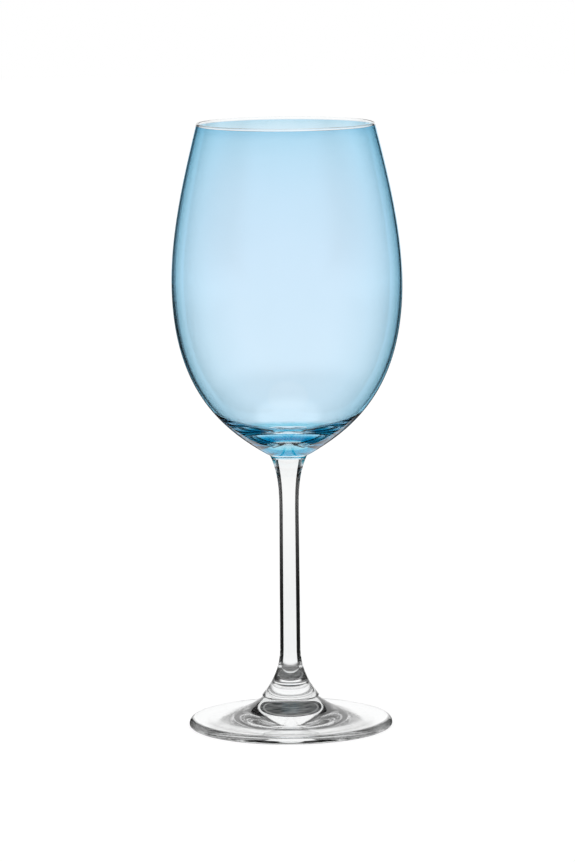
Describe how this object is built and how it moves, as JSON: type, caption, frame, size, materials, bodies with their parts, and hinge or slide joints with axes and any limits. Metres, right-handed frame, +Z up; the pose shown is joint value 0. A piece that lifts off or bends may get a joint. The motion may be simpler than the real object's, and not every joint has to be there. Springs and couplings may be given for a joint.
{
  "type": "stemmed wine glass",
  "caption": "Stemmed wine glass with an egg-shaped transparent blue bowl narrowing to the rim, a slender clear stem flared at both ends and a round clear foot that it stands on.",
  "frame": {"origin": "centre of the foot on the surface that the glass stands on", "axes": "+Z up along the glass's axis, from the foot to the rim; X and Y lie in the plane of the foot, and the glass is round so their turn is free"},
  "size_m": [0.0852, 0.0852, 0.225],
  "materials": {
    "foot_glass": "clear pressed glass, fire polished",
    "stem_glass": "clear drawn glass, fire polished",
    "bowl_glass": "clear blown glass, fire polished",
    "colour_coat": "thin transparent sky blue film, glossy, denser towards the rim"
  },
  "bodies": {
    "root": {"foot": "foot_glass", "stem": "stem_glass", "bowl": "bowl_glass", "bowl_colour_coat": "colour_coat"}
  },
  "joints": []
}
